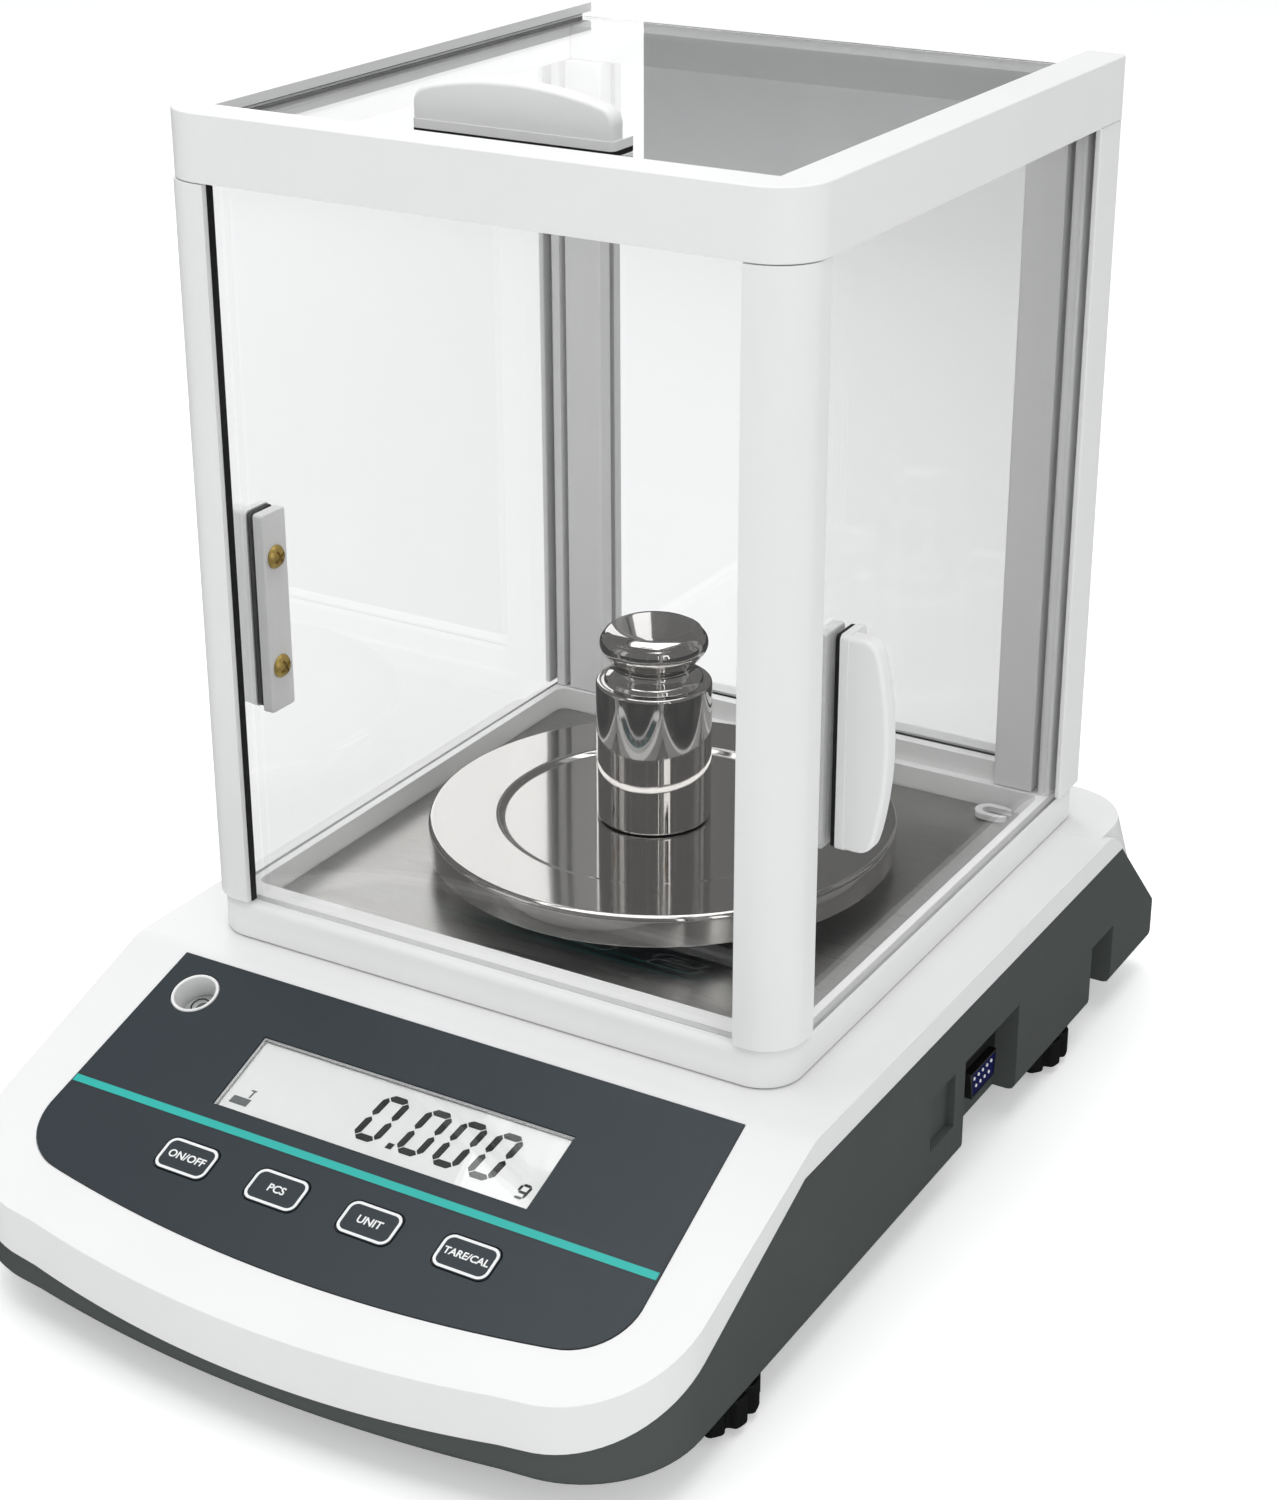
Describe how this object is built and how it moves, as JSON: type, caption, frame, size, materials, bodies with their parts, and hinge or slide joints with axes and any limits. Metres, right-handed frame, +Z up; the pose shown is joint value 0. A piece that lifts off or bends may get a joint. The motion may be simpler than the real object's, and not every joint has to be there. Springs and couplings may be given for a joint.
{
  "type": "analytical balance",
  "caption": "Bench analytical balance: sloped keypad and display, glass draft shield with sliding doors and lid, round steel pan with a knob weight, screw feet.",
  "frame": {"origin": "on the table, under the middle of the bounding box", "axes": "+X to the operator's right, +Y to the back, +Z up"},
  "size_m": [0.208, 0.3276, 0.299],
  "materials": {
    "white_shell": "satin white ABS",
    "dark_shell": "fine-textured dark grey ABS",
    "overlay_film": "printed polyester film",
    "key_film": "printed keys",
    "pane": "polished float glass",
    "clear_plastic": "clear acrylic",
    "display": "grey liquid crystal display",
    "grey_extrusion": "satin grey extrusion",
    "chamber_floor": "brushed stainless sheet",
    "pan_steel": "brushed stainless pan",
    "polished_metal": "mirror-polished steel",
    "cast_metal": "machined aluminium",
    "brass": "bright brass",
    "rubber": "black rubber",
    "black_plastic": "black moulded plastic",
    "blue_plastic": "blue connector insert",
    "circuit_board": "green laminate"
  },
  "bodies": {
    "base": {"lower_housing": "dark_shell", "upper_housing": "white_shell", "shield_base": "white_shell", "floor_plate": "chamber_floor", "floor_clip": "polished_metal", "level_cup": "white_shell", "level_vial": "clear_plastic", "control_overlay": "overlay_film", "lcd_window": "clear_plastic", "lcd_module": "display", "key_board": "circuit_board", "main_board": "circuit_board", "load_cell": "cast_metal", "load_cell_base": "cast_metal", "load_spindle": "chamber_floor", "serial_port": "blue_plastic", "power_jack": "black_plastic", "post_front_left": "white_shell", "post_front_right": "white_shell", "post_rear_left": "grey_extrusion", "post_rear_right": "grey_extrusion", "cover_rear_left": "white_shell", "cover_rear_right": "white_shell", "top_frame": "white_shell", "rear_header": "grey_extrusion", "front_glass": "pane", "rear_glass": "pane"},
    "left_door": {"left_door_glass": "pane", "left_handle_outer": "white_shell", "left_handle_inner": "grey_extrusion", "left_handle_gasket": "rubber", "left_screw_lower": "brass", "left_screw_upper": "brass"},
    "right_door": {"right_door_glass": "pane", "right_handle_outer": "white_shell", "right_handle_inner": "grey_extrusion", "right_handle_gasket": "rubber", "right_screw_lower": "brass", "right_screw_upper": "brass"},
    "lid": {"lid_glass": "pane", "lid_handle": "white_shell", "lid_handle_gasket": "rubber"},
    "weighing_pan": {"pan": "pan_steel", "pan_hub": "cast_metal"},
    "weight": {"calibration_weight": "polished_metal"},
    "key_on_cap": {"key_on": "key_film"},
    "key_pcs_cap": {"key_pcs": "key_film"},
    "key_unit_cap": {"key_unit": "key_film"},
    "key_tare_cap": {"key_tare": "key_film"},
    "foot_front_left_screw": {"foot_front_left_knob": "black_plastic"},
    "foot_front_left_foot": {"foot_front_left_pad": "rubber"},
    "foot_front_right_screw": {"foot_front_right_knob": "black_plastic"},
    "foot_front_right_foot": {"foot_front_right_pad": "rubber"},
    "foot_rear_left_screw": {"foot_rear_left_knob": "black_plastic"},
    "foot_rear_left_foot": {"foot_rear_left_pad": "rubber"},
    "foot_rear_right_screw": {"foot_rear_right_knob": "black_plastic"},
    "foot_rear_right_foot": {"foot_rear_right_pad": "rubber"}
  },
  "joints": [
    {"name": "left_door_slide", "type": "slide", "parent": "base", "child": "left_door", "axis": [0, 1, 0], "range_m": [0, 0.12]},
    {"name": "right_door_slide", "type": "slide", "parent": "base", "child": "right_door", "axis": [0, 1, 0], "range_m": [0, 0.12]},
    {"name": "lid_slide", "type": "slide", "parent": "base", "child": "lid", "axis": [0, 1, 0], "range_m": [0, 0.12]},
    {"name": "pan_lift", "type": "slide", "parent": "base", "child": "weighing_pan", "axis": [0, 0, 1], "range_m": [0, 0.03]},
    {"name": "weight_lift", "type": "slide", "parent": "weighing_pan", "child": "weight", "axis": [0, 0, 1], "range_m": [0, 0.08]},
    {"name": "key_on_press", "type": "slide", "parent": "base", "child": "key_on_cap", "axis": [0, 0.3387, -0.9409], "range_m": [0, 0.0005], "stiffness_N_per_m": 3000},
    {"name": "key_pcs_press", "type": "slide", "parent": "base", "child": "key_pcs_cap", "axis": [0, 0.3387, -0.9409], "range_m": [0, 0.0005], "stiffness_N_per_m": 3000},
    {"name": "key_unit_press", "type": "slide", "parent": "base", "child": "key_unit_cap", "axis": [0, 0.3387, -0.9409], "range_m": [0, 0.0005], "stiffness_N_per_m": 3000},
    {"name": "key_tare_press", "type": "slide", "parent": "base", "child": "key_tare_cap", "axis": [0, 0.3387, -0.9409], "range_m": [0, 0.0005], "stiffness_N_per_m": 3000},
    {"name": "foot_front_left_travel", "type": "slide", "parent": "base", "child": "foot_front_left_foot", "axis": [0, 0, -1], "range_m": [0, 0.005]},
    {"name": "foot_front_left_turn", "type": "hinge", "parent": "foot_front_left_foot", "child": "foot_front_left_screw", "pos_m": [-0.0865, -0.1008, 0], "axis": [0, 0, -1], "range_deg": [0, 1440]},
    {"name": "foot_front_right_travel", "type": "slide", "parent": "base", "child": "foot_front_right_foot", "axis": [0, 0, -1], "range_m": [0, 0.005]},
    {"name": "foot_front_right_turn", "type": "hinge", "parent": "foot_front_right_foot", "child": "foot_front_right_screw", "pos_m": [0.0865, -0.1008, 0], "axis": [0, 0, -1], "range_deg": [0, 1440]},
    {"name": "foot_rear_left_travel", "type": "slide", "parent": "base", "child": "foot_rear_left_foot", "axis": [0, 0, -1], "range_m": [0, 0.005]},
    {"name": "foot_rear_left_turn", "type": "hinge", "parent": "foot_rear_left_foot", "child": "foot_rear_left_screw", "pos_m": [-0.0865, 0.0907, 0], "axis": [0, 0, -1], "range_deg": [0, 1440]},
    {"name": "foot_rear_right_travel", "type": "slide", "parent": "base", "child": "foot_rear_right_foot", "axis": [0, 0, -1], "range_m": [0, 0.005]},
    {"name": "foot_rear_right_turn", "type": "hinge", "parent": "foot_rear_right_foot", "child": "foot_rear_right_screw", "pos_m": [0.0865, 0.0907, 0], "axis": [0, 0, -1], "range_deg": [0, 1440]}
  ],
  "couplings": [
    {"joint": "foot_front_left_travel", "follows": "foot_front_left_turn", "m_per_rad": 0.00019894},
    {"joint": "foot_front_right_travel", "follows": "foot_front_right_turn", "m_per_rad": 0.00019894},
    {"joint": "foot_rear_left_travel", "follows": "foot_rear_left_turn", "m_per_rad": 0.00019894},
    {"joint": "foot_rear_right_travel", "follows": "foot_rear_right_turn", "m_per_rad": 0.00019894}
  ]
}
